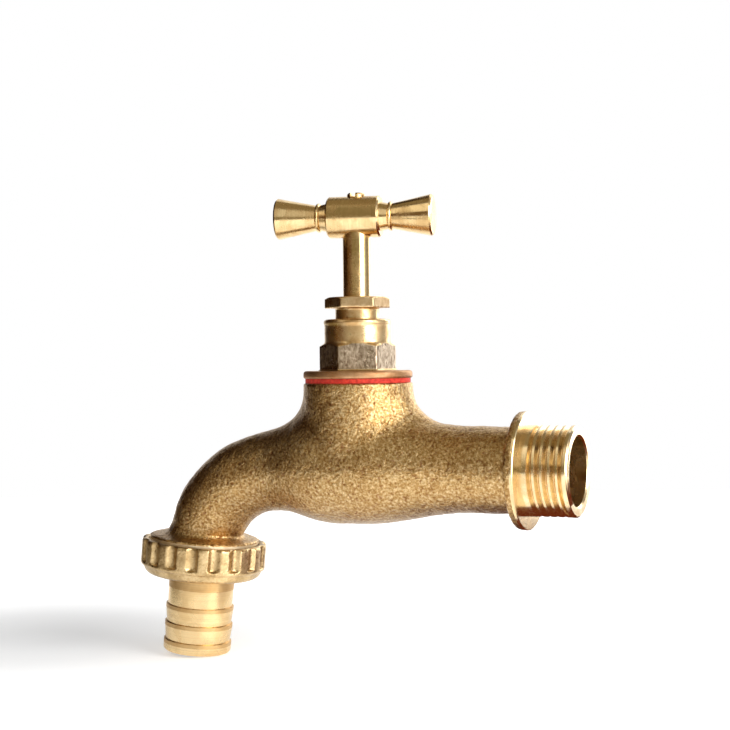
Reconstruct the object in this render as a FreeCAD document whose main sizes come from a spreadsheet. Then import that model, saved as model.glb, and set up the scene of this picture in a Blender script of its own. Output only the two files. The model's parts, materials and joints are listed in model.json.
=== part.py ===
import FreeCAD, Part
import os
import re

import Sketcher
from FreeCAD import Placement, Rotation, Vector

# Cast brass bib tap with a hose union, in millimetres.
# +Z is up, +X points to the wall, and the origin is the centre of the
# shoulder face that meets the wall fitting, on the axis of the inlet.

# Driving sizes
SIZES = {
    # Inlet: the threaded end that screws into the wall fitting
    "inlet_reach": 42.8,             # shoulder face to spindle axis
    "pipe_thread_diameter": 20.955,  # half-inch pipe thread, over the crests
    "inlet_thread_pitch": 1.814,
    "inlet_thread_depth": 1.0,
    "inlet_thread_length": 11.5,
    "inlet_plain_length": 2.1,       # unthreaded shank beside the shoulder
    "inlet_lead_length": 1.1,        # smooth band at the open end
    "inlet_bore_diameter": 16.0,
    "shoulder_diameter": 27.3,
    "shoulder_thickness": 2.4,
    "shoulder_fillet": 1.2,
    # Casting
    "pipe_diameter": 20.2,
    "belly_diameter": 27.0,
    "belly_full_inlet": 1.5,         # spindle axis to the full belly's end, inlet side
    "belly_full_spout": 5.5,         # and on the spout's side
    "inlet_taper_end": 29.0,
    "neck_diameter": 26.3,
    "neck_height": 20.35,
    "neck_fillet": 10.0,
    "spout_diameter": 19.3,
    "spout_end_diameter": 18.0,
    "spout_reach": 42.5,             # spindle axis to the outlet's rim
    "spout_drop": 18.95,
    "spout_slope": 12.0,
    "spout_tilt": 5.4,
    "spout_bend": 22.1,              # radius of the bend's centre line
    "spout_end_lean": 76.0,          # where the bend meets the rim
    "rim_diameter": 27.0,
    "rim_thickness": 1.0,
    "rim_cone_height": 0.5,
    # Waterway
    "inlet_bore_end": 11.8,          # from spindle axis
    "lower_passage_diameter": 10.0,
    "lower_passage_depth": 4.4,
    "lower_passage_end": 5.0,
    "chamber_diameter": 19.2,
    "chamber_floor": 3.6,
    "seat_height": 4.6,
    "seat_bore_diameter": 10.0,
    "seat_ring_width": 1.6,
    "port_diameter": 10.8,
    "port_offset": 12.6,
    "port_top": 9.0,
    "port_bottom": -3.0,
    "spout_bore_diameter": 13.6,
    "outlet_bore_diameter": 14.6,
    # Bonnet
    "bonnet_washer_thickness": 1.05,
    "bonnet_washer_diameter": 25.3,
    "bonnet_flange_diameter": 26.2,
    "bonnet_flange_thickness": 1.85,
    "bonnet_hex_width": 16.0,
    "bonnet_hex_height": 6.45,
    "bonnet_barrel_diameter": 16.0,
    "bonnet_barrel_height": 5.85,
    "bonnet_skirt_length": 7.4,      # below its flange, inside the neck
    "hex_turn": -7.0,                # where the flats face
    "hex_chamfer": 24.0,             # slope of the turned corners, in degrees
    "stuffing_box_depth": 6.5,
    "stuffing_box_diameter": 9.1,
    "stuffing_box_web": 1.1,
    # Gland
    "packing_height": 2.8,
    "gland_ring_thickness": 0.8,
    "gland_thread_diameter": 10.5,
    "gland_neck_height": 2.7,        # shown between bonnet and gland hexagon
    "gland_hex_width": 13.6,
    "gland_hex_height": 2.6,
    # Spindle
    "stem_diameter": 6.6,
    "spindle_thread_diameter": 10.0,
    "spindle_thread_pitch": 2.0,
    "spindle_thread_depth": 1.1,
    "spindle_thread_length": 13.6,
    "spindle_tang_width": 4.6,
    "spindle_tang_length": 5.4,
    "bonnet_thread_length": 7.0,
    # Valve
    "valve_washer_thickness": 2.8,
    "valve_washer_diameter": 14.0,
    "jumper_plate_thickness": 1.6,
    "jumper_plate_diameter": 14.4,
    "jumper_stem_diameter": 5.0,
    "jumper_stem_length": 6.2,
    "jumper_stud_diameter": 3.4,
    "jumper_nut_width": 6.0,
    "jumper_nut_height": 1.8,
    # Handle
    "handle_height": 60.05,
    "handle_turn": 12.0,
    "handle_length": 38.5,
    "handle_offset": -0.37,           # the bar sits a little off centre
    "handle_barrel_length": 12.8,
    "handle_barrel_diameter": 9.9,
    "handle_neck_diameter": 6.1,
    "handle_bead_diameter": 7.0,
    "handle_bead_place": 8.8,
    "handle_bead_width": 1.0,
    "handle_end_diameter": 9.9,
    "handle_socket_depth": 1.2,
    "handle_web": 2.6,
    "screw_head_diameter": 4.3,
    "screw_head_height": 1.8,
    "screw_thread_diameter": 3.0,
    "screw_length": 6.0,
    "screw_slot_width": 1.3,
    "screw_slot_depth": 0.9,
    # Hose union
    "union_thread_diameter": 26.441,  # three-quarter-inch pipe thread
    "union_thread_pitch": 1.814,
    "union_thread_depth": 1.1,
    "outlet_thread_length": 4.8,
    "nut_diameter": 31.1,
    "nut_rim_diameter": 29.6,
    "nut_height": 8.8,
    "nut_rise": 0.1,                 # nut's top edge above the rim's underside
    "nut_rib_height": 6.6,
    "nut_flute_radius": 1.7,
    "nut_flute_count": 18,
    "nut_flute_turn": -51.5,         # where one flute faces
    "nut_foot_round": 2.3,
    "hose_washer_thickness": 1.7,
    "hose_washer_diameter": 23.4,
    "hose_washer_bore": 13.6,
    "tail_flange_diameter": 23.2,
    "tail_flange_thickness": 1.6,
    "tail_diameter": 16.9,           # over the barbs
    "tail_root_diameter": 16.1,
    "tail_collar_diameter": 16.3,
    "tail_bore_diameter": 12.2,
    "tail_collar_length": 3.1,       # plain land below the nut
    "tail_first_barb": 7.3,          # nut's underside to the first barb
    "tail_barb_pitch": 4.41,
    "tail_barb_land": 1.05,
    "tail_barb_count": 3,
    "tail_end_round": 0.9,
    # Fits
    "running_fit": 0.07,             # radial, where a shaft turns in a hole
    "thread_fit": 0.15,              # between the flanks of moving threads
    "end_float": 0.05,               # along the axis, between moving faces
    "static_fit": 0.03,              # radial, where nothing moves
    "edge_break": 0.4,               # small turned chamfers
}

doc = FreeCAD.newDocument("BibTap")
sheet = doc.addObject("Spreadsheet::Sheet", "Sizes")
for row, (name, value) in enumerate(SIZES.items(), start=1):
    sheet.set("A%d" % row, name)
    sheet.set("B%d" % row, str(value))
    sheet.setAlias("B%d" % row, name)
doc.recompute()


# Helpers

def bound(text):
    """An expression in which each size's name points at its cell in the sheet."""
    return re.sub(r"[a-z_]{3,}", lambda word: point_at_cell(word.group()), text)


def point_at_cell(word):
    return "Sizes." + word if word in SIZES else word


def new_piece(name, x="-inlet_reach", z="0"):
    """A body named for its piece, on the spindle's axis unless told otherwise."""
    body = doc.addObject("PartDesign::Body", name)
    body.Label = name
    body.setExpression("Placement.Base.x", bound(x))
    body.setExpression("Placement.Base.z", bound(z))
    return body


def new_union_piece(name):
    """A body in the outlet's own frame: its Z axis runs up the tilted outlet."""
    body = doc.addObject("PartDesign::Body", name)
    body.Label = name
    body.Placement = Placement(Vector(), Rotation(Vector(0, 1, 0), 1))
    body.setExpression("Placement.Base.x", bound("-inlet_reach - spout_reach"))
    body.setExpression("Placement.Base.z", bound("-spout_drop"))
    body.setExpression("Placement.Rotation.Angle", bound("spout_tilt"))
    return body


def new_sketch(body, plane="XZ_Plane"):
    """An empty sketch on one of the body's own planes."""
    sketch = body.newObject("Sketcher::SketchObject", body.Name + "_sketch")
    support = [item for item in body.Origin.OriginFeatures if item.Role == plane]
    sketch.AttachmentSupport = [(support[0], "")]
    sketch.MapMode = "FlatFace"
    return sketch


def set_size(sketch, constraint, text):
    """Add one dimension to a sketch and tie it to the sheet."""
    index = sketch.addConstraint(constraint)
    sketch.setExpression("Constraints[%d]" % index, bound(text))


def add_point(sketch, x, y):
    """A construction point whose two coordinates are tied to the sheet."""
    point = sketch.addGeometry(Part.Point(Vector(1, 1, 0)), True)
    if x == "0":
        sketch.addConstraint(Sketcher.Constraint("PointOnObject", point, 1, -2))
    else:
        set_size(sketch, Sketcher.Constraint("DistanceX", point, 1, 1.0), x)
    if y == "0":
        sketch.addConstraint(Sketcher.Constraint("PointOnObject", point, 1, -1))
    else:
        set_size(sketch, Sketcher.Constraint("DistanceY", point, 1, 1.0), y)
    return point


def outline(body, corners, plane="XZ_Plane"):
    """A closed outline through corners. A corner marked arc is passed through
    by an arc from the corner before it to the corner after it."""
    sketch = new_sketch(body, plane)
    points = [add_point(sketch, corner[0], corner[1]) for corner in corners]
    doc.recompute()
    places = [sketch.getPoint(point, 1) for point in points]
    count = len(corners)
    step = 0
    while step < count:
        follow = (step + 1) % count
        if len(corners[follow]) > 2:
            last = (step + 2) % count
            curve = Part.Arc(places[step], places[follow], places[last])
            edge = sketch.addGeometry(curve, False)
            sketch.addConstraint(
                Sketcher.Constraint("PointOnObject", points[follow], 1, edge))
            ends = match_ends(sketch, edge, places[step])
            step += 2
        else:
            last = follow
            edge = sketch.addGeometry(Part.LineSegment(places[step], places[last]), False)
            ends = (1, 2)
            step += 1
        first = (last - (2 if len(corners[(last - 1) % count]) > 2 else 1)) % count
        sketch.addConstraint(Sketcher.Constraint("Coincident", edge, ends[0], points[first], 1))
        sketch.addConstraint(Sketcher.Constraint("Coincident", edge, ends[1], points[last], 1))
    return sketch


def match_ends(sketch, edge, start):
    """Which end of an arc lies at its start, as the sketch numbers them."""
    if sketch.getPoint(edge, 1).distanceToPoint(start) < 0.001:
        return (1, 2)
    return (2, 1)


def ring(body, x, z, radius, lean="0"):
    """A circle square to the waterway, its plane leaning as the spout descends."""
    sketch = new_sketch(body, "YZ_Plane")
    sketch.AttachmentOffset = Placement(Vector(), Rotation(Vector(-1, 0, 0), 1))
    sketch.setExpression("AttachmentOffset.Base.y", bound(z))
    sketch.setExpression("AttachmentOffset.Base.z", bound(x))
    sketch.setExpression("AttachmentOffset.Rotation.Angle", bound(lean))
    circle = sketch.addGeometry(Part.Circle(Vector(), Vector(0, 0, 1), 5), False)
    sketch.addConstraint(Sketcher.Constraint("Coincident", circle, 3, -1, 1))
    set_size(sketch, Sketcher.Constraint("Radius", circle, 5), radius)
    return sketch


def at_outlet(sketch):
    """Move a sketch of the casting to the outlet's rim, along its tilted axis."""
    sketch.AttachmentOffset = Placement(Vector(), Rotation(Vector(0, 0, -1), 1))
    sketch.setExpression("AttachmentOffset.Base.x", bound("-spout_reach"))
    sketch.setExpression("AttachmentOffset.Base.y", bound("-spout_drop"))
    sketch.setExpression("AttachmentOffset.Rotation.Angle", bound("spout_tilt"))
    return sketch


def feature(body, kind, sketch, **settings):
    """A feature made from a sketch, recomputed so that the next can build on it."""
    item = body.newObject("PartDesign::" + kind, body.Name + "_" + kind.lower())
    item.Profile = sketch
    for key, value in settings.items():
        setattr(item, key, value)
    doc.recompute()
    return item


def turn(body, corners, axis="V_Axis", kind="Revolution"):
    """Revolve an outline of radius and height about the piece's own axis."""
    sketch = outline(body, corners)
    return feature(body, kind, sketch, ReferenceAxis=(sketch, [axis]), Angle=360)


def bore(body, corners, axis="V_Axis"):
    return turn(body, corners, axis, "Groove")


def cylinder_corners(radius, low, high):
    return [("0", low), (radius, low), (radius, high), ("0", high)]


def hexagon(body, width, turned, height_at, length, kind="Pad"):
    """A hexagonal prism, or a hexagonal hole, from one height upwards."""
    corners = []
    for number in range(6):
        angle = "(%s + %d) * 1 deg" % (turned, 30 + 60 * number)
        reach = "(%s) / 2 / cos(30 deg)" % width
        corners.append(("%s * cos(%s)" % (reach, angle), "%s * sin(%s)" % (reach, angle)))
    return prism(body, corners, height_at, length, kind)


def square(body, width, height_at, length, kind="Pad", turned="0"):
    half = "(%s) / 2" % width
    corners = [("-(%s)" % half, "-(%s)" % half), (half, "-(%s)" % half),
               (half, half), ("-(%s)" % half, half)]
    return prism(body, corners, height_at, length, kind, turned)


def prism(body, corners, height_at, length, kind="Pad", turned="0"):
    """Raise an outline from one height, or cut it upwards from that height."""
    sketch = outline(body, corners, "XY_Plane")
    sketch.AttachmentOffset = Placement(Vector(), Rotation(Vector(0, 0, 1), 1))
    sketch.setExpression("AttachmentOffset.Base.z", bound(height_at))
    sketch.setExpression("AttachmentOffset.Rotation.Angle", bound(turned))
    item = feature(body, kind, sketch, Reversed=(kind == "Pocket"))
    item.setExpression("Length", bound(length))
    doc.recompute()
    return item


def thread(body, root, crest, pitch, low, length, crest_share=0.45, axis="V_Axis",
           place=None, cut=False):
    """A helical ridge, or a helical groove to take one, from low along the axis.
    The ridge stands on the root's cylinder and is sunk a little into it."""
    along = "(%s)" % low
    foot = "(%s) * 0.475" % pitch
    top = "(%s) * %g / 2" % (pitch, crest_share)
    sunk = "(%s)" % root
    corners = [(sunk, "%s - %s" % (along, foot)), (crest, "%s - %s" % (along, top)),
               (crest, "%s + %s" % (along, top)), (sunk, "%s + %s" % (along, foot))]
    if axis == "H_Axis":
        corners = [(y, x) for x, y in corners]
    sketch = outline(body, corners)
    if place is not None:
        place(sketch)
        doc.recompute()
    kind = "SubtractiveHelix" if cut else "AdditiveHelix"
    item = feature(body, kind, sketch, ReferenceAxis=(sketch, [axis]),
                   Mode="pitch-height-angle", Pitch=1.814, Height=5)
    item.setExpression("Pitch", bound(pitch))
    item.setExpression("Height", bound(length))
    doc.recompute()
    return item


def soften(body, size, chosen, kind="Fillet"):
    """Round or chamfer the edges of the body's tip that a test picks out."""
    tip = body.Tip
    names = ["Edge%d" % (number + 1) for number, edge in enumerate(tip.Shape.Edges)
             if chosen(edge)]
    item = body.newObject("PartDesign::" + kind, body.Name + "_" + kind.lower())
    item.Base = (tip, names)
    item.setExpression("Radius" if kind == "Fillet" else "Size", bound(size))
    doc.recompute()
    return item


# Heights that several pieces share, above the inlet axis
FLANGE_FOOT = "(neck_height + bonnet_washer_thickness)"
HEX_FOOT = "(%s + bonnet_flange_thickness)" % FLANGE_FOOT
BARREL_FOOT = "(%s + bonnet_hex_height)" % HEX_FOOT
BONNET_TOP = "(%s + bonnet_barrel_height)" % BARREL_FOOT
BONNET_FOOT = "(%s - bonnet_skirt_length)" % FLANGE_FOOT
BOX_FLOOR = "(%s - stuffing_box_depth)" % BONNET_TOP
RING_FOOT = "(%s + packing_height)" % BOX_FLOOR
GLAND_FOOT = "(%s + gland_ring_thickness)" % RING_FOOT
GLAND_HEX_FOOT = "(%s + gland_neck_height)" % BONNET_TOP
GLAND_TOP = "(%s + gland_hex_height)" % GLAND_HEX_FOOT
PLATE_FOOT = "(seat_height + end_float + valve_washer_thickness)"
PLATE_TOP = "(%s + jumper_plate_thickness)" % PLATE_FOOT
SPINDLE_FOOT = "(%s + end_float)" % PLATE_TOP
SPINDLE_THREAD_TOP = "(%s + spindle_thread_length)" % SPINDLE_FOOT
BAR_UNDERSIDE = "(handle_height - handle_barrel_diameter / 2)"
SPINDLE_SHOULDER = "(%s + handle_socket_depth)" % BAR_UNDERSIDE
TANG_TOP = "(%s + spindle_tang_length)" % SPINDLE_SHOULDER

# Heights along the outlet's axis, from the underside of its rim
WASHER_TOP = "(-outlet_thread_length - end_float)"
TAIL_TOP = "(%s - hose_washer_thickness)" % WASHER_TOP
TAIL_FLANGE_FOOT = "(%s - tail_flange_thickness)" % TAIL_TOP
NUT_FLOOR_TOP = "(%s - end_float)" % TAIL_FLANGE_FOOT
NUT_FOOT = "(nut_rise - nut_height)"
FIRST_BARB = "(%s - tail_first_barb)" % NUT_FOOT
LAST_BARB = "(%s - tail_barb_pitch * (tail_barb_count - 1))" % FIRST_BARB
TAIL_END = "(%s - tail_barb_land * 2 - tail_end_round)" % LAST_BARB

# The spout's bend, from the sloping run to the tilted outlet
BEND_END_X = "(-spout_reach + rim_thickness * sin(spout_tilt * 1 deg))"
BEND_END_Z = "(-spout_drop + rim_thickness * cos(spout_tilt * 1 deg))"


def bend_place(share):
    """Where the centre line is in the bend: its x, its z and its lean."""
    lean = "(spout_slope + (spout_end_lean - spout_slope) * %g)" % share
    x = "(%s + spout_bend * (sin(spout_end_lean * 1 deg) - sin(%s * 1 deg)))" % (BEND_END_X, lean)
    z = "(%s - spout_bend * (cos(spout_end_lean * 1 deg) - cos(%s * 1 deg)))" % (BEND_END_Z, lean)
    return x, z, lean


def run_place(share):
    """Where it is in the run from the full belly to the bend, dipping faster and faster."""
    bend_x, bend_z, bend_lean = bend_place(0)
    x = "(-belly_full_spout + (%s + belly_full_spout) * %g)" % (bend_x, share)
    z = "%s * %g" % (bend_z, share ** 2.5)
    return x, z, "spout_slope * %g" % share ** 1.5


def swell(share, small):
    """Radius of the casting part of the way from the full belly to a pipe."""
    return "%s + (belly_diameter / 2 - %s) * (1 + cos(180 deg * %g)) / 2" % (small, small, share)


# Casting

def cast_outside(body):
    """Pipe, belly and spout as one loft through rings along the waterway."""
    pipe = "pipe_diameter / 2"
    pipe_end = "(inlet_reach - shoulder_thickness / 2)"
    rings = [ring(body, pipe_end, "0", pipe),
             ring(body, "(%s + inlet_taper_end) / 2" % pipe_end, "0", pipe)]
    for share in (1.0, 0.8, 0.6, 0.4, 0.2, 0.0):
        x = "(belly_full_inlet + (inlet_taper_end - belly_full_inlet) * %g)" % share
        rings.append(ring(body, x, "0", swell(share, pipe)))
    rings.append(ring(body, "(belly_full_inlet - belly_full_spout) / 2", "0", "belly_diameter / 2"))
    for share in (0.0, 0.25, 0.5, 0.75):
        x, z, lean = run_place(share)
        rings.append(ring(body, x, z, swell(share, "spout_diameter / 2"), lean))
    for share in (0.0, 0.2, 0.4, 0.6, 0.8, 1.0):
        x, z, lean = bend_place(share)
        thinning = "(spout_diameter - spout_end_diameter) / 2 * %g" % share
        rings.append(ring(body, x, z, "spout_diameter / 2 - " + thinning, lean))
    return feature(body, "AdditiveLoft", rings[0], Sections=rings[1:])


def is_neck_edge(edge):
    """The curve on which the neck meets the belly."""
    box = edge.BoundBox
    inside = box.XMin > -14 and box.XMax < 14 and box.ZMin > 0
    return inside and box.ZMax < SIZES["neck_height"] - 1 and edge.Length > 12


def cast_neck(body):
    turn(body, cylinder_corners("neck_diameter / 2", "0", "neck_height"))
    soften(body, "neck_fillet", is_neck_edge)


def outlet_rim(body):
    """The rim that the union nut stops against, with its short cast fillet."""
    spout = "spout_end_diameter / 2"
    corners = [("0", "0"), ("rim_diameter / 2", "0"), ("rim_diameter / 2", "rim_thickness"),
               (spout + " + 1.6", "rim_thickness + rim_cone_height"),
               (spout + " + 0.55", "rim_thickness + rim_cone_height + 0.4", "arc"),
               (spout + " - 0.1", "rim_thickness + rim_cone_height + 1.8"),
               ("0", "rim_thickness + rim_cone_height + 1.8")]
    sketch = at_outlet(outline(body, corners))
    doc.recompute()
    feature(body, "Revolution", sketch, ReferenceAxis=(sketch, ["V_Axis"]), Angle=360)


def outlet_spigot(body):
    """The threaded outlet below the rim."""
    root = "union_thread_diameter / 2 - union_thread_depth"
    corners = [("0", "rim_thickness / 2"), (root, "rim_thickness / 2"),
               (root, "-outlet_thread_length + edge_break"),
               (root + " - edge_break", "-outlet_thread_length"), ("0", "-outlet_thread_length")]
    sketch = at_outlet(outline(body, corners))
    doc.recompute()
    feature(body, "Revolution", sketch, ReferenceAxis=(sketch, ["V_Axis"]), Angle=360)
    thread(body, root, "union_thread_diameter / 2", "union_thread_pitch",
           "-outlet_thread_length + union_thread_pitch * 0.75",
           "outlet_thread_length - union_thread_pitch * 1.25", place=at_outlet)


def inlet_end(body):
    """Shoulder, plain shank, threaded length and smooth lead, turned on the inlet axis."""
    crest = "pipe_thread_diameter / 2"
    root = crest + " - inlet_thread_depth"
    back = "(inlet_reach - shoulder_thickness)"
    thread_from = "(inlet_reach + inlet_plain_length)"
    end = "(inlet_reach + inlet_thread_length)"
    thread_to = "(%s - inlet_lead_length)" % end
    pipe = "pipe_diameter / 2"
    corners = [(back + " - shoulder_fillet", "0"), (back + " - shoulder_fillet", pipe + " - 0.05"),
               (back + " - shoulder_fillet * 0.29", pipe + " + shoulder_fillet * 0.29", "arc"),
               (back, pipe + " + shoulder_fillet"), (back, "shoulder_diameter / 2 - edge_break"),
               (back + " + edge_break", "shoulder_diameter / 2"),
               ("inlet_reach - edge_break / 2", "shoulder_diameter / 2"),
               ("inlet_reach", "shoulder_diameter / 2 - edge_break / 2"),
               ("inlet_reach", crest), (thread_from, crest), (thread_from, root),
               (thread_to, root), (thread_to, crest), (end + " - edge_break", crest),
               (end, crest + " - edge_break"), (end, "0")]
    turn(body, corners, "H_Axis")
    thread(body, root, crest + " - static_fit", "inlet_thread_pitch",
           thread_from + " - inlet_thread_pitch * 0.4",
           "inlet_thread_length - inlet_plain_length - inlet_lead_length + inlet_thread_pitch * 0.8",
           crest_share=0.3, axis="H_Axis")


def inlet_waterway(body):
    """Inlet bore, and the passage that dips below the seat."""
    radius = "inlet_bore_diameter / 2"
    end = "(inlet_reach + inlet_thread_length)"
    bore(body, [("inlet_bore_end", "0"), ("inlet_bore_end", radius),
                (end + " - edge_break", radius), (end, radius + " + edge_break"),
                (end + " + 1", radius + " + edge_break"), (end + " + 1", "0")], "H_Axis")
    low = "-lower_passage_depth"
    sketch = outline(body, [("-lower_passage_end", low),
                            ("-lower_passage_end", low + " + lower_passage_diameter / 2 - 2"),
                            ("-lower_passage_end + 2", low + " + lower_passage_diameter / 2"),
                            ("inlet_bore_end + 0.5", low + " + lower_passage_diameter / 2"),
                            ("inlet_bore_end + 0.5", low)])
    sketch.setExpression("AttachmentOffset.Base.y", bound("0"))
    axis_line = sketch.addGeometry(Part.LineSegment(Vector(0, -4, 0), Vector(9, -4, 0)), True)
    sketch.addConstraint(Sketcher.Constraint("Horizontal", axis_line))
    set_size(sketch, Sketcher.Constraint("DistanceY", axis_line, 1, -4.0), low)
    doc.recompute()
    feature(body, "Groove", sketch, ReferenceAxis=(sketch, ["Axis0"]), Angle=360)


def valve_chamber(body):
    """Bonnet thread, chamber and the raised seat round its bore."""
    thread_radius = "pipe_thread_diameter / 2 + static_fit"
    seat_out = "(seat_bore_diameter / 2 + seat_ring_width)"
    bore(body, [(seat_out, "chamber_floor"), ("chamber_diameter / 2", "chamber_floor"),
                ("chamber_diameter / 2", BONNET_FOOT + " - 0.6"),
                (thread_radius, BONNET_FOOT + " - 0.6"),
                (thread_radius, "neck_height - edge_break"),
                (thread_radius + " + edge_break", "neck_height"),
                (thread_radius + " + edge_break", "neck_height + 1"),
                ("0", "neck_height + 1"), ("0", "seat_height"), (seat_out, "seat_height")])
    bore(body, cylinder_corners("seat_bore_diameter / 2", "-lower_passage_depth", "seat_height + 1"))


def spill_port(body):
    """The drop behind the seat, from the chamber to the spout."""
    sketch = new_sketch(body, "XY_Plane")
    sketch.setExpression("AttachmentOffset.Base.z", bound("port_bottom"))
    circle = sketch.addGeometry(Part.Circle(Vector(-12, 0, 0), Vector(0, 0, 1), 5), False)
    sketch.addConstraint(Sketcher.Constraint("PointOnObject", circle, 3, -1))
    set_size(sketch, Sketcher.Constraint("DistanceX", circle, 3, -12.0), "-port_offset")
    set_size(sketch, Sketcher.Constraint("Radius", circle, 5), "port_diameter / 2")
    item = feature(body, "Pocket", sketch, Reversed=True, Refine=False)
    item.setExpression("Length", bound("port_top - port_bottom"))
    doc.recompute()


def spout_waterway(body):
    """The passage down the spout to the open end of the outlet thread."""
    radius = "spout_bore_diameter / 2"
    rings = []
    for share in (0.1, 0.4, 0.7):
        x, z, lean = run_place(share)
        rings.append(ring(body, x, z, radius, lean))
    for share in (0.0, 0.25, 0.5, 0.75, 1.0):
        x, z, lean = bend_place(share)
        rings.append(ring(body, x, z, radius, lean))
    feature(body, "SubtractiveLoft", rings[0], Sections=rings[1:])
    outlet = cylinder_corners("outlet_bore_diameter / 2", "-outlet_thread_length - 1",
                              "rim_thickness + 1.2")
    sketch = at_outlet(outline(body, outlet))
    doc.recompute()
    feature(body, "Groove", sketch, ReferenceAxis=(sketch, ["V_Axis"]), Angle=360)


def make_body():
    body = new_piece("body")
    cast_outside(body)
    cast_neck(body)
    outlet_rim(body)
    inlet_end(body)
    outlet_spigot(body)
    spout_waterway(body)
    inlet_waterway(body)
    valve_chamber(body)
    spill_port(body)
    return body


# Headwork: bonnet, gland and spindle

def make_bonnet_washer():
    body = new_piece("bonnet_washer")
    inner = "pipe_thread_diameter / 2 + static_fit"
    turn(body, [(inner, "neck_height"), ("bonnet_washer_diameter / 2", "neck_height"),
                ("bonnet_washer_diameter / 2", FLANGE_FOOT), (inner, FLANGE_FOOT)])
    return body


def chamfer_hexagon(body, width, top):
    """Turn down the upper corners of a hexagon."""
    flat = "(%s) / 2" % width
    clear = "(%s) / 2 / cos(30 deg) + edge_break" % width
    drop = "((%s) - (%s)) * tan(hex_chamfer * 1 deg)" % (clear, flat)
    bore(body, [(flat, top), (clear, top), (clear, "%s - %s" % (top, drop))])


def make_bonnet():
    """Flange, hexagon and barrel outside, and the spindle's thread inside."""
    body = new_piece("bonnet")
    skirt = "pipe_thread_diameter / 2"
    barrel = "bonnet_barrel_diameter / 2"
    turn(body, [("0", BONNET_FOOT), (skirt + " - edge_break", BONNET_FOOT),
                (skirt, BONNET_FOOT + " + edge_break"), (skirt, FLANGE_FOOT),
                ("bonnet_flange_diameter / 2 - edge_break / 2", FLANGE_FOOT),
                ("bonnet_flange_diameter / 2", FLANGE_FOOT + " + edge_break / 2"),
                ("bonnet_flange_diameter / 2", HEX_FOOT + " - edge_break"),
                ("bonnet_flange_diameter / 2 - edge_break", HEX_FOOT), ("0", HEX_FOOT)])
    hexagon(body, "bonnet_hex_width", "hex_turn", HEX_FOOT + " - 0.1", "bonnet_hex_height + 0.1")
    chamfer_hexagon(body, "bonnet_hex_width", BARREL_FOOT)
    turn(body, [("0", BARREL_FOOT + " - 1"), (barrel + " - 0.1", BARREL_FOOT + " - 1"),
                (barrel + " - 0.1", BONNET_TOP + " - 1.2"), (barrel + " + 0.1", BONNET_TOP + " - 1.0"),
                (barrel + " + 0.1", BONNET_TOP + " - edge_break"),
                (barrel + " + 0.1 - edge_break", BONNET_TOP), ("0", BONNET_TOP)])
    bonnet_inside(body)
    return body


def bonnet_inside(body):
    stem = "stem_diameter / 2 + running_fit"
    thread_bore = "(spindle_thread_diameter / 2 - spindle_thread_depth + thread_fit)"
    relief = "(spindle_thread_diameter / 2 + thread_fit * 2)"
    thread_top = "(%s + bonnet_thread_length)" % BONNET_FOOT
    web = "(%s - stuffing_box_web)" % BOX_FLOOR
    box = "stuffing_box_diameter / 2"
    gland = "gland_thread_diameter / 2 + static_fit"
    bore(body, [("0", BONNET_FOOT + " - 1"), (thread_bore + " + edge_break", BONNET_FOOT + " - 1"),
                (thread_bore + " + edge_break", BONNET_FOOT), (thread_bore, BONNET_FOOT + " + edge_break"),
                (thread_bore, thread_top), (relief, thread_top), (relief, web), (stem, web),
                (stem, BOX_FLOOR), (box, BOX_FLOOR), (box, GLAND_FOOT), (gland, GLAND_FOOT),
                (gland, BONNET_TOP + " - edge_break"), (gland + " + edge_break", BONNET_TOP),
                (gland + " + edge_break", BONNET_TOP + " + 1"), ("0", BONNET_TOP + " + 1")])
    thread(body, thread_bore + " - 0.05", "spindle_thread_diameter / 2 + thread_fit",
           "spindle_thread_pitch", BONNET_FOOT + " - spindle_thread_pitch",
           "bonnet_thread_length + spindle_thread_pitch * 2", cut=True, crest_share=0.5)


def make_gland_packing():
    body = new_piece("gland_packing")
    inner = "stem_diameter / 2 + running_fit"
    outer = "stuffing_box_diameter / 2 - static_fit"
    turn(body, [(inner, BOX_FLOOR), (outer, BOX_FLOOR), (outer, RING_FOOT), (inner, RING_FOOT)])
    return body


def make_gland_ring():
    body = new_piece("gland_ring")
    inner = "stem_diameter / 2 + running_fit"
    outer = "stuffing_box_diameter / 2 - static_fit"
    turn(body, [(inner, RING_FOOT), (outer, RING_FOOT), (outer, GLAND_FOOT), (inner, GLAND_FOOT)])
    return body


def make_gland_nut():
    body = new_piece("gland_nut")
    outer = "gland_thread_diameter / 2"
    turn(body, [("0", GLAND_FOOT), (outer + " - edge_break", GLAND_FOOT),
                (outer, GLAND_FOOT + " + edge_break"), (outer, GLAND_HEX_FOOT), ("0", GLAND_HEX_FOOT)])
    hexagon(body, "gland_hex_width", "hex_turn", GLAND_HEX_FOOT + " - 0.05", "gland_hex_height + 0.05")
    chamfer_hexagon(body, "gland_hex_width", GLAND_TOP)
    bore(body, cylinder_corners("stem_diameter / 2 + running_fit", GLAND_FOOT + " - 1", GLAND_TOP + " + 1"))
    return body


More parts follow.
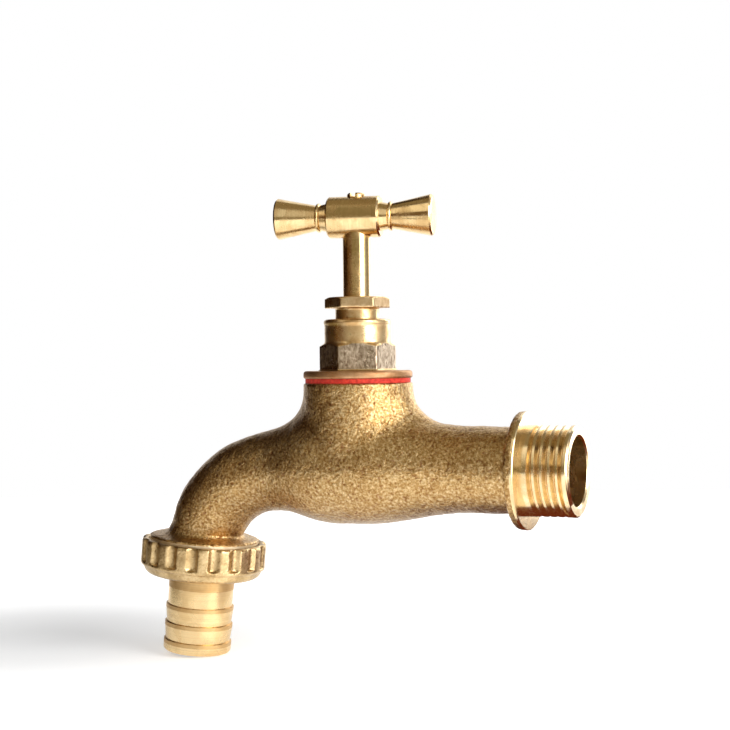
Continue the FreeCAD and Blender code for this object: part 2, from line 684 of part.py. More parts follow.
def make_spindle():
    """Lifting thread below, plain stem through the gland, square tang in the handle."""
    body = new_piece("spindle")
    stem = "stem_diameter / 2"
    root = "(spindle_thread_diameter / 2 - spindle_thread_depth)"
    turn(body, [("0", SPINDLE_FOOT), (root + " - edge_break", SPINDLE_FOOT),
                (root, SPINDLE_FOOT + " + edge_break"), (root, SPINDLE_THREAD_TOP),
                (stem, SPINDLE_THREAD_TOP + " + " + root + " - " + stem),
                (stem, SPINDLE_SHOULDER), ("0", SPINDLE_SHOULDER)])
    lowest = thread_phase()
    thread(body, root + " - 0.1", "spindle_thread_diameter / 2", "spindle_thread_pitch", lowest,
           "%s - (%s) - spindle_thread_pitch * 0.5" % (SPINDLE_THREAD_TOP, lowest), crest_share=0.4)
    square(body, "spindle_tang_width", SPINDLE_SHOULDER + " - 0.1", "spindle_tang_length + 0.1",
           turned="handle_turn")
    bore(body, cylinder_corners("jumper_stem_diameter / 2 + running_fit",
                                SPINDLE_FOOT + " - 1", PLATE_TOP + " + jumper_stem_length + 0.5"))
    bore(body, cylinder_corners("screw_thread_diameter / 2 + static_fit",
                                TANG_TOP + " - screw_length", TANG_TOP + " + 1"))
    return body


def thread_phase():
    """Lowest turn of the spindle's thread, in step with the bonnet's."""
    bonnet_turn = "(%s - spindle_thread_pitch)" % BONNET_FOOT
    room = "(%s - %s - spindle_thread_pitch * 0.6)" % (bonnet_turn, SPINDLE_FOOT)
    return "%s - spindle_thread_pitch * floor(%s / spindle_thread_pitch)" % (bonnet_turn, room)


# Valve

def make_jumper_valve():
    body = new_piece("jumper_valve")
    plate = "jumper_plate_diameter / 2"
    stem = "jumper_stem_diameter / 2"
    stud = "jumper_stud_diameter / 2"
    stud_foot = "(seat_height - jumper_nut_height - 0.6)"
    top = "(%s + jumper_stem_length)" % PLATE_TOP
    turn(body, [("0", stud_foot), (stud + " - 0.3", stud_foot), (stud, stud_foot + " + 0.3"),
                (stud, PLATE_FOOT), (plate + " - 0.3", PLATE_FOOT), (plate, PLATE_FOOT + " + 0.3"),
                (plate, PLATE_TOP + " - 0.3"), (plate + " - 0.3", PLATE_TOP), (stem, PLATE_TOP),
                (stem, top + " - edge_break"), (stem + " - edge_break", top), ("0", top)])
    return body


def make_valve_washer():
    body = new_piece("valve_washer")
    foot = "(seat_height + end_float)"
    inner = "jumper_stud_diameter / 2 + static_fit"
    outer = "valve_washer_diameter / 2"
    turn(body, [(inner, foot), (outer + " - 0.3", foot), (outer, foot + " + 0.3"),
                (outer, PLATE_FOOT), (inner, PLATE_FOOT)])
    return body


def make_jumper_nut():
    body = new_piece("jumper_nut")
    top = "(seat_height + end_float)"
    foot = "(%s - jumper_nut_height)" % top
    hexagon(body, "jumper_nut_width", "0", foot, "jumper_nut_height")
    bore(body, cylinder_corners("jumper_stud_diameter / 2 + static_fit", foot + " - 1", top + " + 1"))
    return body


# Handle

def make_handle_bar():
    """A bar turned from one rod, cross-drilled for the spindle and its screw."""
    body = new_piece("handle_bar", z="handle_height")
    body.Placement = Placement(Vector(), Rotation(Vector(0, 0, 1), 1))
    body.setExpression("Placement.Rotation.Angle", bound("handle_turn"))
    barrel = "handle_barrel_diameter / 2"
    neck = "handle_neck_diameter / 2"
    end = "handle_end_diameter / 2"
    bead_in = "(handle_bead_place - handle_bead_width / 2)"
    bead_out = "(handle_bead_place + handle_bead_width / 2)"
    half = [("handle_barrel_length / 2 - edge_break", barrel),
            ("handle_barrel_length / 2", barrel + " - edge_break"),
            ("handle_barrel_length / 2", neck + " + 0.45"),
            (bead_in, neck), ("handle_bead_place", "handle_bead_diameter / 2", "arc"),
            (bead_out, neck), ("handle_length / 2 - 0.6", end),
            ("handle_length / 2 - 0.2", end + " - 0.3"), ("handle_length / 2", end + " - 1.1"),
            ("handle_length / 2", "0")]
    far = [("handle_offset + " + corner[0],) + corner[1:] for corner in half]
    near = [("handle_offset - (%s)" % corner[0],) + corner[1:] for corner in reversed(half)]
    turn(body, near + far, "H_Axis")
    handle_socket(body)
    return body


def handle_socket(body):
    """Socket for the stem, square hole for its tang, and the screw's seat on top."""
    low = "(-handle_barrel_diameter / 2)"
    shoulder = "(%s + handle_socket_depth)" % low
    square_top = "(%s + spindle_tang_length + end_float)" % shoulder
    socket = "stem_diameter / 2 + static_fit"
    hole = "screw_thread_diameter / 2 + 0.1"
    head = "screw_head_diameter / 2 + 0.1"
    bore(body, [("0", low + " - 1"), (socket + " + 1.6", low + " - 1"), (socket, low + " + 0.6"),
                (socket, shoulder), ("0", shoulder)])
    square(body, "spindle_tang_width + static_fit * 2", shoulder + " - 0.1",
           "spindle_tang_length + end_float + 0.1", "Pocket")
    seat = "(%s + handle_web - 0.4)" % square_top
    bore(body, [("0", square_top + " - 0.5"), (hole, square_top + " - 0.5"), (hole, seat),
                (head, seat), (head, "handle_barrel_diameter / 2 + 1"),
                ("0", "handle_barrel_diameter / 2 + 1")])


def make_handle_screw():
    """Cheese-head screw whose slotted head stands a little above the bar."""
    body = new_piece("handle_screw")
    head = "screw_head_diameter / 2"
    foot = "(%s + end_float + handle_web - 0.4)" % TANG_TOP
    top = "(%s + screw_head_height)" % foot
    shank = "screw_thread_diameter / 2"
    shank_foot = "(%s - screw_length + 0.5)" % TANG_TOP
    turn(body, [("0", shank_foot), (shank, shank_foot), (shank, foot), (head, foot),
                (head, top + " - 0.35"), (head + " - 0.35", top), ("0", top)])
    across = "(screw_slot_width / 2)"
    along = "(screw_head_diameter / 2 + 1)"
    slot = [("-" + across, "-" + along), (across, "-" + along),
            (across, along), ("-" + across, along)]
    prism(body, slot, top + " - screw_slot_depth", "screw_slot_depth + 1", "Pocket")
    return body


# Hose union

def make_union_nut():
    """Ring nut with fluted grip, whose floor holds the hose tail's flange."""
    body = new_union_piece("union_nut")
    rib = "nut_diameter / 2"
    rim = "nut_rim_diameter / 2"
    rib_foot = "(nut_rise - nut_rib_height)"
    turn(body, [("0", NUT_FOOT), (rim + " - nut_foot_round", NUT_FOOT),
                (rim + " - nut_foot_round * 0.29", NUT_FOOT + " + nut_foot_round * 0.29", "arc"),
                (rim, NUT_FOOT + " + nut_foot_round"), (rim, rib_foot + " - 0.2"),
                (rib, rib_foot + " + 0.3"), (rib, "nut_rise - edge_break"),
                (rib + " - edge_break", "nut_rise"), ("0", "nut_rise")])
    flute_grip(body, rib_foot)
    nut_inside(body)
    return body


def flute_grip(body, rib_foot):
    """Ball-ended flutes down the ribbed part of the nut."""
    centre = "(nut_rim_diameter / 2 - 0.15 + nut_flute_radius)"
    sketch = new_sketch(body, "XY_Plane")
    sketch.setExpression("AttachmentOffset.Base.z", bound(rib_foot + " + nut_flute_radius * 0.6"))
    circle = sketch.addGeometry(Part.Circle(Vector(16, 2, 0), Vector(0, 0, 1), 1.7), False)
    angle = "(nut_flute_turn * 1 deg)"
    set_size(sketch, Sketcher.Constraint("DistanceX", circle, 3, 16.0), centre + " * cos(%s)" % angle)
    set_size(sketch, Sketcher.Constraint("DistanceY", circle, 3, 2.0), centre + " * sin(%s)" % angle)
    set_size(sketch, Sketcher.Constraint("Radius", circle, 1.7), "nut_flute_radius")
    flute = feature(body, "Pocket", sketch, Reversed=True)
    flute.setExpression("Length", bound("nut_rib_height + 1"))
    doc.recompute()
    pattern = body.newObject("PartDesign::PolarPattern", "union_nut_flutes")
    pattern.Originals = [flute]
    spin = [item for item in body.Origin.OriginFeatures if item.Role == "Z_Axis"]
    pattern.Axis = (spin[0], [""])
    pattern.Angle = 360
    pattern.setExpression("Occurrences", bound("nut_flute_count"))
    body.Tip = pattern
    doc.recompute()


def nut_inside(body):
    """Recess for the rim, thread, and the hole that the hose tail hangs through."""
    bore_radius = "(union_thread_diameter / 2 - union_thread_depth + thread_fit)"
    recess = "(rim_diameter / 2 + 0.35)"
    hole = "(tail_diameter / 2 + running_fit * 3)"
    relief = "(union_thread_diameter / 2 + thread_fit)"
    recess_foot = "(-0.4)"
    bore(body, [("0", "nut_rise + 1"), (recess, "nut_rise + 1"), (recess, recess_foot),
                (bore_radius, recess_foot), (bore_radius, NUT_FLOOR_TOP), (hole, NUT_FLOOR_TOP),
                (hole, NUT_FOOT + " - 1"), ("0", NUT_FOOT + " - 1")])
    thread(body, bore_radius + " - 0.05", relief, "union_thread_pitch",
           "-outlet_thread_length + union_thread_pitch * 0.75 - union_thread_pitch",
           "outlet_thread_length + union_thread_pitch", cut=True, crest_share=0.55)


def make_hose_washer():
    body = new_union_piece("hose_washer")
    inner = "hose_washer_bore / 2"
    outer = "hose_washer_diameter / 2"
    turn(body, [(inner, TAIL_TOP), (outer, TAIL_TOP), (outer, WASHER_TOP), (inner, WASHER_TOP)])
    return body


def make_hose_tail():
    """Flanged tube with saw-tooth barbs: each steps out, then tapers to the next."""
    body = new_union_piece("hose_tail")
    land = "tail_diameter / 2"
    root = "tail_root_diameter / 2"
    inner = "tail_bore_diameter / 2"
    collar = "tail_collar_diameter / 2"
    corners = [(inner, TAIL_TOP), ("tail_flange_diameter / 2", TAIL_TOP),
               ("tail_flange_diameter / 2", TAIL_FLANGE_FOOT), (collar, TAIL_FLANGE_FOOT),
               (collar, NUT_FOOT + " - tail_collar_length")]
    for number in range(SIZES["tail_barb_count"]):
        top = "(%s - tail_barb_pitch * %d)" % (FIRST_BARB, number)
        corners.append((root, top))
        corners.append((land, top + " - 0.12"))
        if number < SIZES["tail_barb_count"] - 1:
            corners.append((land, top + " - tail_barb_land"))
    corners += [(land, TAIL_END + " + tail_end_round"),
                (land + " - tail_end_round * 0.29", TAIL_END + " + tail_end_round * 0.29", "arc"),
                (land + " - tail_end_round", TAIL_END), (inner, TAIL_END)]
    turn(body, corners)
    return body


PIECES = [make_body, make_bonnet_washer, make_bonnet, make_gland_packing, make_gland_ring,
          make_gland_nut, make_spindle, make_jumper_valve, make_valve_washer, make_jumper_nut,
          make_handle_bar, make_handle_screw, make_union_nut, make_hose_washer, make_hose_tail]
pieces = [make() for make in PIECES]
doc.recompute()

for item in doc.Objects:
    if "Invalid" in item.State or "Error" in item.State:
        raise RuntimeError("%s failed to build" % item.Name)
for piece in pieces:
    shape = piece.Shape
    if shape.isNull() or not shape.isValid():
        raise RuntimeError("%s has no valid shape" % piece.Label)
    print("%-16s %9.1f mm3, %d solid" % (piece.Label, shape.Volume, len(shape.Solids)))

os.makedirs("parts", exist_ok=True)
for piece in pieces:
    piece.Shape.exportStep("parts/%s.step" % piece.Label)
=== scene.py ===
# %% [markdown]
# # A brass bib tap with a hose union
# The solids of the tap come in from its CAD model, already in place. This lesson dresses them:
# the casting, the union nut and the two hexagons are shaped again with softer edges, every
# surface gets a finish of its own, and a plain studio is built round the tap.

# %% Load the frame
import json
from math import atan2, cos, degrees, radians, sin

import bpy
from mathutils import Matrix, Vector
from mathutils.bvhtree import BVHTree
from mathutils.interpolate import poly_3d_calc

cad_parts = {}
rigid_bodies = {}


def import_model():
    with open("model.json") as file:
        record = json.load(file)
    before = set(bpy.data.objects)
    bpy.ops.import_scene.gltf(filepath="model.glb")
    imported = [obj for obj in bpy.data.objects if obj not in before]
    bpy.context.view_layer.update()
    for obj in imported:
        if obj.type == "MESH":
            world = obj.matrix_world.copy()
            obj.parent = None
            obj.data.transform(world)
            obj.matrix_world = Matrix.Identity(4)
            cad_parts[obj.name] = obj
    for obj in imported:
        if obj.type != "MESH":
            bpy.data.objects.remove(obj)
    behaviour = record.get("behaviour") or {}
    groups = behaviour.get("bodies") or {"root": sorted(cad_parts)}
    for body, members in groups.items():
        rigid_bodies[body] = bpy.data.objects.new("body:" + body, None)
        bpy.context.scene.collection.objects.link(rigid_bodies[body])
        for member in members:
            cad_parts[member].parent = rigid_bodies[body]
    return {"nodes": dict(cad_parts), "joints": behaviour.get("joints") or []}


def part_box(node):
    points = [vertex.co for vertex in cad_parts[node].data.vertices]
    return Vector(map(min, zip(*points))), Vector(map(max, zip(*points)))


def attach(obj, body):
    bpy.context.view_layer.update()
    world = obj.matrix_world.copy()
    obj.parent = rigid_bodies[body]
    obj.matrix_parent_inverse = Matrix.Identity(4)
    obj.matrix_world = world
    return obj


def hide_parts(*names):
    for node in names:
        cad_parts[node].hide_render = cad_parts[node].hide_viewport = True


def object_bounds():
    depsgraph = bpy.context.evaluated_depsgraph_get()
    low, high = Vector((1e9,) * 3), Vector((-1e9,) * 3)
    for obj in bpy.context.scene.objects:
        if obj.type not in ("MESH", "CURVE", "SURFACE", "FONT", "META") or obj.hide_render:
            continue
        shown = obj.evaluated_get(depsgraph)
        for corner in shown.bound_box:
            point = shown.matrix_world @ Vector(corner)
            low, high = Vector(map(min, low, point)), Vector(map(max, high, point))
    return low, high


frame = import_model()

MM = 0.001
cad_low, cad_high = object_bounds()
print("CAD box in mm:", [round(v / MM, 2) for v in cad_low], [round(v / MM, 2) for v in cad_high])

# %% [markdown]
# ## Axes that the pieces share
# The spindle stands upright on one axis and the outlet hangs on another, which leans a few
# degrees. The hinge of each turning piece is written in the record, so both axes are read from
# there and nothing is measured twice. The nut's hinge is written at the underside of the
# outlet's rim, and places along the outlet are counted from there, upwards.

# %% Read the two axes
joints = {joint["name"]: joint for joint in frame["joints"]}
spindle_x = joints["spindle_turn"]["pos_m"][0]
outlet_centre = Vector(joints["union_nut_turn"]["pos_m"])
outlet_up = -Vector(joints["union_nut_turn"]["axis"])
outlet_tilt = atan2(outlet_up.x, outlet_up.z)
print("spindle at x =", spindle_x, "outlet leans", round(degrees(outlet_tilt), 2), "degrees")

# %% [markdown]
# ## Small helpers
# Blender's operators act on whatever is selected, and loading leaves every node selected. So
# each step first selects one piece alone. A CAD mesh arrives as loose triangles, so a copy of
# one is merged before it is worked on.

# %% Select, copy and cut a piece
MERGE_MM = 0.002                # points closer than this become one


def pick(piece):
    """Make this piece the only selected one, and the active one."""
    bpy.ops.object.select_all(action="DESELECT")
    piece.select_set(True)
    bpy.context.view_layer.objects.active = piece


def copy_of(node, name):
    """A merged copy of a CAD node's mesh, free to be reshaped."""
    pick(frame["nodes"][node])
    bpy.ops.object.duplicate()
    piece = bpy.context.active_object
    bpy.ops.object.parent_clear(type="CLEAR_KEEP_TRANSFORM")
    piece.name = name
    piece.data.name = name
    for key in list(piece.keys()):
        del piece[key]
    bpy.ops.object.mode_set(mode="EDIT")
    bpy.ops.mesh.select_all(action="SELECT")
    bpy.ops.mesh.remove_doubles(threshold=MERGE_MM * MM)
    bpy.ops.object.mode_set(mode="OBJECT")
    return piece


def cut_off(piece, point, normal):
    """Cut the piece with a plane, drop the side that the normal points to and close the cut."""
    pick(piece)
    bpy.ops.object.mode_set(mode="EDIT")
    bpy.ops.mesh.select_all(action="SELECT")
    bpy.ops.mesh.bisect(plane_co=point, plane_no=normal, use_fill=True, clear_outer=True)
    bpy.ops.object.mode_set(mode="OBJECT")


def faces_of(piece):
    return len(piece.data.polygons)


print("a copy merges points closer than", MERGE_MM, "mm")

# %% [markdown]
# ## Finishes: a few node helpers
# Every finish below is a Principled shader fed by procedural textures on Object coordinates.
# All pieces sit at the origin with their place in their mesh, so those coordinates are metres
# in the tap's own frame: a noise scale of 1000 gives grains of about a millimetre.

# %% Add nodes and start a finish
def add_node(tree, kind, inputs=None, **settings):
    """Add a node, set its attributes, then its input values by name."""
    node = tree.nodes.new("ShaderNode" + kind)
    for key, value in settings.items():
        setattr(node, key, value)
    for key, value in (inputs or {}).items():
        node.inputs[key].default_value = value
    return node


def start_finish(name, metallic=1.0):
    """A material with its Principled shader and Object coordinates."""
    material = bpy.data.materials.new(name)
    material.use_nodes = True
    tree = material.node_tree
    shader = tree.nodes["Principled BSDF"]
    shader.inputs["Metallic"].default_value = metallic
    coordinates = add_node(tree, "TexCoord").outputs["Object"]
    return material, tree, shader, coordinates


def connect(tree, shader, **sockets):
    """Feed sockets to the shader; an underscore stands for the blank in an input's name."""
    for name, socket in sockets.items():
        tree.links.new(socket, shader.inputs[name.replace("_", " ")])


print("a finish can be started")

# %% Make patterns, ramps, mixes and bumps
WHITE = (1.0, 1.0, 1.0)         # changes nothing where it multiplies a colour


def noise(tree, vector, scale, detail=4.0, rough=0.55, distortion=0.0):
    """A cloudy pattern; the larger the scale, the smaller its grains."""
    texture = add_node(tree, "TexNoise", {"Scale": scale, "Detail": detail, "Roughness": rough,
                                          "Distortion": distortion})
    tree.links.new(vector, texture.inputs["Vector"])
    return texture.outputs["Fac"]


def ramp(tree, value, stops):
    """A colour ramp from (place, colour) stops; a grey stop may be one number."""
    node = add_node(tree, "ValToRGB")
    elements = node.color_ramp.elements
    while len(elements) < len(stops):
        elements.new(0.5)
    for element, (place, colour) in zip(elements, stops):
        element.position = place
        element.color = (colour,) * 3 + (1,) if isinstance(colour, float) else colour + (1,)
    tree.links.new(value, node.inputs["Fac"])
    return node.outputs["Color"]


def mix(tree, share, first, second, blend="MIX"):
    """Mix two colour sockets by a share, which is a number or a socket."""
    node = add_node(tree, "Mix", data_type="RGBA", blend_type=blend)
    if isinstance(share, float):
        node.inputs["Factor"].default_value = share
    else:
        tree.links.new(share, node.inputs["Factor"])
    tree.links.new(first, node.inputs["A"])
    tree.links.new(second, node.inputs["B"])
    return node.outputs["Result"]


def bump(tree, height, depth_mm, under=None):
    """Turn a height into a surface normal, depth_mm high from black to white."""
    node = add_node(tree, "Bump", {"Distance": depth_mm * MM, "Strength": 1.0})
    tree.links.new(height, node.inputs["Height"])
    if under is not None:
        tree.links.new(under, node.inputs["Normal"])
    return node.outputs["Normal"]


print("patterns can be made and laid over one another")

# %% Do sums with sockets
def calc(tree, operation, first, second=0.0):
    """One step of arithmetic; each side is a socket or a number."""
    node = add_node(tree, "Math", operation=operation)
    for side, value in enumerate((first, second)):
        if isinstance(value, (int, float)):
            node.inputs[side].default_value = value
        else:
            tree.links.new(value, node.inputs[side])
    return node.outputs["Value"]


def band(tree, value, low, high):
    """One between two limits, nothing outside them."""
    return calc(tree, "MULTIPLY", calc(tree, "GREATER_THAN", value, low),
                calc(tree, "LESS_THAN", value, high))


def facing_up(tree):
    """One on a face that looks up, nothing on a side, minus one on a face that looks down."""
    parts = add_node(tree, "SeparateXYZ")
    tree.links.new(add_node(tree, "NewGeometry").outputs["Normal"], parts.inputs["Vector"])
    return parts.outputs["Z"]


print("sums can be done")

# %% [markdown]
# ## Sand-cast brass
# The casting still has the skin that the sand left: blunt grains of half a millimetre or so,
# with tiny facets that sparkle, dirt in the low spots and no polish anywhere. Three noises of
# different sizes make the grains, the sparkle and the pores, and a fourth, very broad one stains
# the whole. The colour goes darker and browner where it is low. Faces that look down are
# darkened further by painted shade, which stands in for the shade under the casting.

# %% Make the cast finish
def cast_finish():
    material, tree, shader, place = start_finish("cast_brass")
    grain = noise(tree, place, scale=1650.0, detail=4.0, rough=0.62)
    fine = noise(tree, place, scale=3400.0, detail=3.0, rough=0.6)
    pores = noise(tree, place, scale=950.0, detail=3.0, rough=0.6)
    patches = noise(tree, place, scale=75.0, detail=3.0)
    low_to_high = ramp(tree, grain, [(0.35, (0.35, 0.19, 0.06)), (0.50, (0.56, 0.365, 0.15)),
                                     (0.65, (0.84, 0.64, 0.36))])
    dirt = ramp(tree, pores, [(0.32, (0.34, 0.13, 0.06)), (0.44, WHITE)])
    stain = ramp(tree, patches, [(0.35, (0.92, 0.84, 0.74)), (0.65, WHITE)])
    facing_down = calc(tree, "MULTIPLY", facing_up(tree), -1.0)
    # painted shade: faces that look down are multiplied down to about two thirds of their colour
    painted_underside_shade = ramp(tree, facing_down, [(0.15, WHITE), (0.80, (0.64, 0.63, 0.66))])
    colour = mix(tree, 0.65, low_to_high, dirt, "MULTIPLY")
    colour = mix(tree, 0.8, colour, stain, "MULTIPLY")
    colour = mix(tree, 1.0, colour, painted_underside_shade, "MULTIPLY")
    polish = ramp(tree, fine, [(0.3, 0.24), (0.7, 0.38)])
    surface = bump(tree, fine, 0.06, bump(tree, grain, 0.17, bump(tree, pores, 0.16)))
    connect(tree, shader, Base_Color=colour, Roughness=polish, Normal=surface)
    return material


sand_cast = cast_finish()
print("made", sand_cast.name)

# %% [markdown]
# ## Turned brass
# A lathe tool leaves fine rings round the axis that a piece was turned on. Two numbers say where
# a point is on such a piece: how far it lies along the axis, and how far from it. A noise that
# reads only those two numbers draws rings on the sides and circles on the ends.

# %% Say where a point lies on a turned piece
def lathe_place(tree, place, centre, axis):
    """How far a point lies along the turning axis, and how far from it, as two sockets."""
    away = add_node(tree, "VectorMath", operation="SUBTRACT")
    tree.links.new(place, away.inputs[0])
    away.inputs[1].default_value = centre
    along = add_node(tree, "VectorMath", operation="DOT_PRODUCT")
    tree.links.new(away.outputs["Vector"], along.inputs[0])
    along.inputs[1].default_value = axis
    across = add_node(tree, "VectorMath", operation="CROSS_PRODUCT")
    tree.links.new(away.outputs["Vector"], across.inputs[0])
    across.inputs[1].default_value = axis
    reach = add_node(tree, "VectorMath", operation="LENGTH")
    tree.links.new(across.outputs["Vector"], reach.inputs[0])
    return along.outputs["Value"], reach.outputs["Value"]


def ring_noise(tree, along, reach, scale):
    """The tool's rings: a noise that reads only the place along the axis and the reach."""
    both = add_node(tree, "CombineXYZ")
    tree.links.new(along, both.inputs["X"])
    tree.links.new(reach, both.inputs["Y"])
    return noise(tree, both.outputs["Vector"], scale, detail=3.0, rough=0.6)


print("rings can be drawn")

# %% Write the turned finish
# A dull band is rougher, and its darker tint is painted shade.
DULL_SHADE_TINT = (0.80, 0.72, 0.62)
DULL_EXTRA = 0.16               # how much rougher a dull band is


def turned_finish(name, centre, axis, light, dark, roughness, ring_mm=0.012, wear=0.175,
                  dull_shaded_bands=()):
    """Rings round an axis; within the dull bands along it the tool left no shine, and painted
    shade darkens them.
    """
    material, tree, shader, place = start_finish(name)
    along, reach = lathe_place(tree, place, centre, axis)
    rings = ring_noise(tree, along, reach, scale=3800.0)
    stains = noise(tree, place, scale=170.0, detail=5.0, rough=0.6, distortion=0.8)
    specks = noise(tree, place, scale=1500.0, detail=3.0, rough=0.6)
    base = ramp(tree, stains, [(0.38, dark), (0.58, light)])
    shade = ramp(tree, rings, [(0.3, (0.86, 0.84, 0.80)), (0.6, WHITE)])
    colour = mix(tree, 0.8, base, shade, "MULTIPLY")
    polish = ramp(tree, stains, [(0.35, roughness + wear), (0.62, roughness)])
    for low, high in dull_shaded_bands:
        dull = band(tree, along, low, high)
        # painted shade: the band's colour is darkened
        tint = ramp(tree, dull, [(0.0, WHITE), (1.0, DULL_SHADE_TINT)])
        colour = mix(tree, 1.0, colour, tint, "MULTIPLY")
        polish = calc(tree, "ADD", polish, calc(tree, "MULTIPLY", dull, DULL_EXTRA))
    surface = bump(tree, specks, 0.006, bump(tree, rings, ring_mm))
    connect(tree, shader, Base_Color=colour, Roughness=polish, Normal=surface)
    return material


print("a dull band is", DULL_EXTRA, "rougher")

# %% Turn the casting's two ends and the stem
SPINDLE_LINE = (spindle_x, 0.0, 0.0)
UPWARD = (0.0, 0.0, 1.0)
BRIGHT_LIGHT, BRIGHT_DARK = (0.90, 0.67, 0.35), (0.76, 0.51, 0.23)
inlet_turned = turned_finish("turned_inlet", (0.0, 0.0, 0.0), (1.0, 0.0, 0.0),
                             (0.92, 0.73, 0.44), (0.80, 0.59, 0.32), roughness=0.15)
outlet_turned = turned_finish("turned_outlet", outlet_centre, outlet_up,
                              (0.95, 0.82, 0.60), (0.84, 0.68, 0.46), roughness=0.50)
stem_turned = turned_finish("turned_stem", SPINDLE_LINE, UPWARD, BRIGHT_LIGHT, BRIGHT_DARK,
                            roughness=0.15)
print("made", inlet_turned.name, outlet_turned.name, stem_turned.name)

# %% Turn the hose tail
NUT_FOOT, COLLAR_LENGTH = -8.7 * MM, 3.1 * MM   # places and lengths along the outlet's axis
FIRST_BARB, BARB_PITCH, BARB_LAND = -16.0 * MM, 4.41 * MM, 1.05 * MM
BARBS = 3
barb_lands = [(FIRST_BARB - BARB_PITCH * number - BARB_LAND, FIRST_BARB - BARB_PITCH * number)
              for number in range(BARBS)]
# The collar under the nut and the land under each barb's step are dull, and their tint paints the
# shade that the nut and the steps cast.
tail_turned = turned_finish("turned_tail", outlet_centre, outlet_up,
                            (0.86, 0.64, 0.34), (0.78, 0.55, 0.27), roughness=0.22,
                            ring_mm=0.008, wear=0.1,
                            dull_shaded_bands=[(NUT_FOOT - COLLAR_LENGTH, NUT_FOOT)] + barb_lands)
print("made", tail_turned.name, "with", 1 + len(barb_lands), "dull bands")

# %% Turn the bar
BAR_TURN = radians(12.0)        # how far the bar is turned away from the inlet's axis
bar_low, bar_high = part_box("handle_bar")
bar_centre = (bar_low + bar_high) / 2
bar_axis = Vector((cos(BAR_TURN), sin(BAR_TURN), 0.0))
bar_turned = turned_finish("turned_bar", bar_centre, bar_axis, BRIGHT_LIGHT, BRIGHT_DARK,
                           roughness=0.16)
print("made", bar_turned.name)

# %% [markdown]
# ## Pressed, raw and soft finishes
# The nut is a stamping with a satin skin. The faces of the hexagons were never machined: they
# keep the brown, grainy skin of the bar that the piece was turned from. One finish can serve
# the whole piece, because height and the way a face looks say which part of it a point is on.
# The washers are red fibre and black rubber, and the packing is pale waxed string.

# %% Make the stamped finish
def stamped_finish():
    material, tree, shader, place = start_finish("stamped_brass")
    soft = noise(tree, place, scale=260.0, detail=4.0, rough=0.55)
    fine = noise(tree, place, scale=1700.0, detail=4.0, rough=0.6)
    base = ramp(tree, soft, [(0.34, (0.52, 0.36, 0.17)), (0.62, (0.78, 0.58, 0.31))])
    speckle = ramp(tree, fine, [(0.38, (0.62, 0.54, 0.42)), (0.58, WHITE)])
    colour = mix(tree, 0.5, base, speckle, "MULTIPLY")
    polish = ramp(tree, fine, [(0.3, 0.24), (0.7, 0.40)])
    surface = bump(tree, fine, 0.09, bump(tree, soft, 0.12))
    connect(tree, shader, Base_Color=colour, Roughness=polish, Normal=surface)
    return material


stamped = stamped_finish()
print("made", stamped.name)

# %% Measure the parts of the headwork
FLANGE_HEIGHT, HEX_HEIGHT, GLAND_HEX_HEIGHT = 1.85 * MM, 6.45 * MM, 2.6 * MM
FLANGE_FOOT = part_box("bonnet_washer")[1].z
HEX_FOOT = FLANGE_FOOT + FLANGE_HEIGHT
HEX_TOP = HEX_FOOT + HEX_HEIGHT
GLAND_HEX_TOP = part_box("gland_nut")[1].z
GLAND_HEX_FOOT = GLAND_HEX_TOP - GLAND_HEX_HEIGHT
EDGE_SLACK = 0.05 * MM          # the flange's own band starts this far under its foot
print("flange from", round(FLANGE_FOOT / MM, 2), "to", round(HEX_FOOT / MM, 2), "mm, hexagon to",
      round(HEX_TOP / MM, 2), "mm")

# %% Make the headwork's finish
STEEPEST_SIDE = 0.3             # a face that looks up or down less than this is a side
GLAND_RAWNESS = 0.3             # the small hexagon is only this raw, next to the large one
FLANGE_EXTRA = 0.20             # how much rougher the flange is
TURNED_GRIT, RAW_GRIT = 0.2, 0.8    # the grit's depth everywhere, and what raw faces add to it


def headwork_finish():
    """Turned barrel, raw hexagon faces and a dull brown flange, told apart by height."""
    material, tree, shader, place = start_finish("headwork_brass")
    height, reach = lathe_place(tree, place, SPINDLE_LINE, UPWARD)
    rings = ring_noise(tree, height, reach, scale=3400.0)
    stains = noise(tree, place, scale=260.0, detail=5.0, rough=0.6, distortion=0.8)
    turned = ramp(tree, stains, [(0.36, (0.62, 0.38, 0.16)), (0.60, (0.88, 0.65, 0.35))])
    turned_polish = ramp(tree, stains, [(0.35, 0.38), (0.65, 0.26)])

    stretched = add_node(tree, "Mapping", {"Scale": (1.0, 1.0, 0.6)})
    tree.links.new(place, stretched.inputs["Vector"])
    skin = noise(tree, stretched.outputs["Vector"], scale=1350.0, detail=4.0, rough=0.62,
                 distortion=0.4)
    raw = ramp(tree, skin, [(0.34, (0.24, 0.16, 0.10)), (0.50, (0.47, 0.36, 0.25)),
                            (0.66, (0.68, 0.55, 0.41))])

    side = calc(tree, "LESS_THAN", calc(tree, "ABSOLUTE", facing_up(tree)), STEEPEST_SIDE)
    gland = band(tree, height, GLAND_HEX_FOOT, GLAND_HEX_TOP)
    hexagons = calc(tree, "ADD", band(tree, height, HEX_FOOT, HEX_TOP),
                    calc(tree, "MULTIPLY", gland, GLAND_RAWNESS))
    raw_face = calc(tree, "MULTIPLY", hexagons, side)
    flange = band(tree, height, FLANGE_FOOT - EDGE_SLACK, HEX_FOOT)
    flange_tint = ramp(tree, flange, [(0.0, WHITE), (1.0, (0.66, 0.53, 0.52))])

    colour = mix(tree, raw_face, mix(tree, 1.0, turned, flange_tint, "MULTIPLY"), raw)
    polish = calc(tree, "ADD", turned_polish, calc(tree, "MULTIPLY", flange, FLANGE_EXTRA))
    depth = calc(tree, "ADD", calc(tree, "MULTIPLY", raw_face, RAW_GRIT), TURNED_GRIT)
    grit = calc(tree, "MULTIPLY", skin, depth)
    surface = bump(tree, grit, 0.11, bump(tree, rings, 0.014))
    connect(tree, shader, Base_Color=colour, Roughness=polish, Normal=surface)
    return material


headwork = headwork_finish()
print("made", headwork.name)

